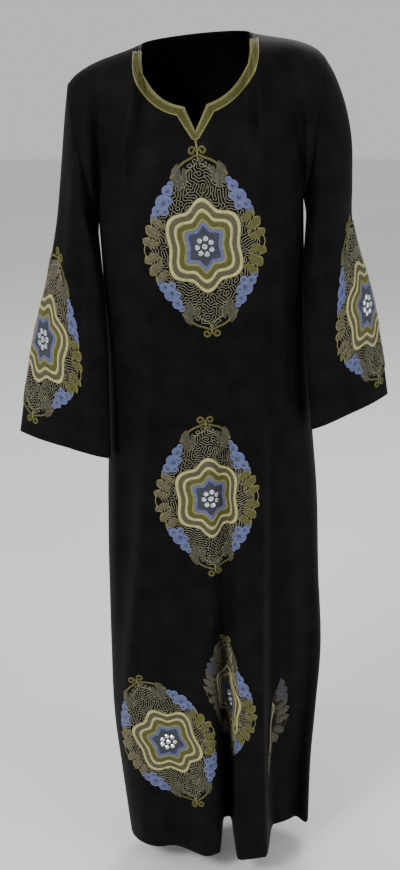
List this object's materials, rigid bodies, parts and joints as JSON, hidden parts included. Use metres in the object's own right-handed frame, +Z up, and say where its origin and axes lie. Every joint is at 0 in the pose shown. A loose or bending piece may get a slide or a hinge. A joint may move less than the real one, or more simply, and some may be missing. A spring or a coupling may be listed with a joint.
{
  "type": "kaftan",
  "caption": "Long black kaftan in its worn, hollow form, with wide sleeves, a corded round neckline with a notch and seven embroidered medallions.",
  "frame": {"origin": "between the two neck points of the shoulder seams, where the wearer's shoulders carry the garment", "axes": "+Z up, the front faces -Y, +X towards the right as seen from the front"},
  "size_m": [0.6058, 0.2613, 1.4294],
  "materials": {
    "crepe": "matte",
    "trim_cord": "satin",
    "embroidery": "satin",
    "stones": "gloss"
  },
  "bodies": {
    "root": {"front": "crepe", "back": "crepe", "sleeve_left": "crepe", "sleeve_right": "crepe", "neck_trim": "trim_cord", "medallion_chest": "embroidery", "medallion_thigh": "embroidery", "medallion_hem_left": "embroidery", "medallion_hem_middle": "embroidery", "medallion_hem_right": "embroidery", "medallion_sleeve_left": "embroidery", "medallion_sleeve_right": "embroidery"}
  },
  "joints": []
}
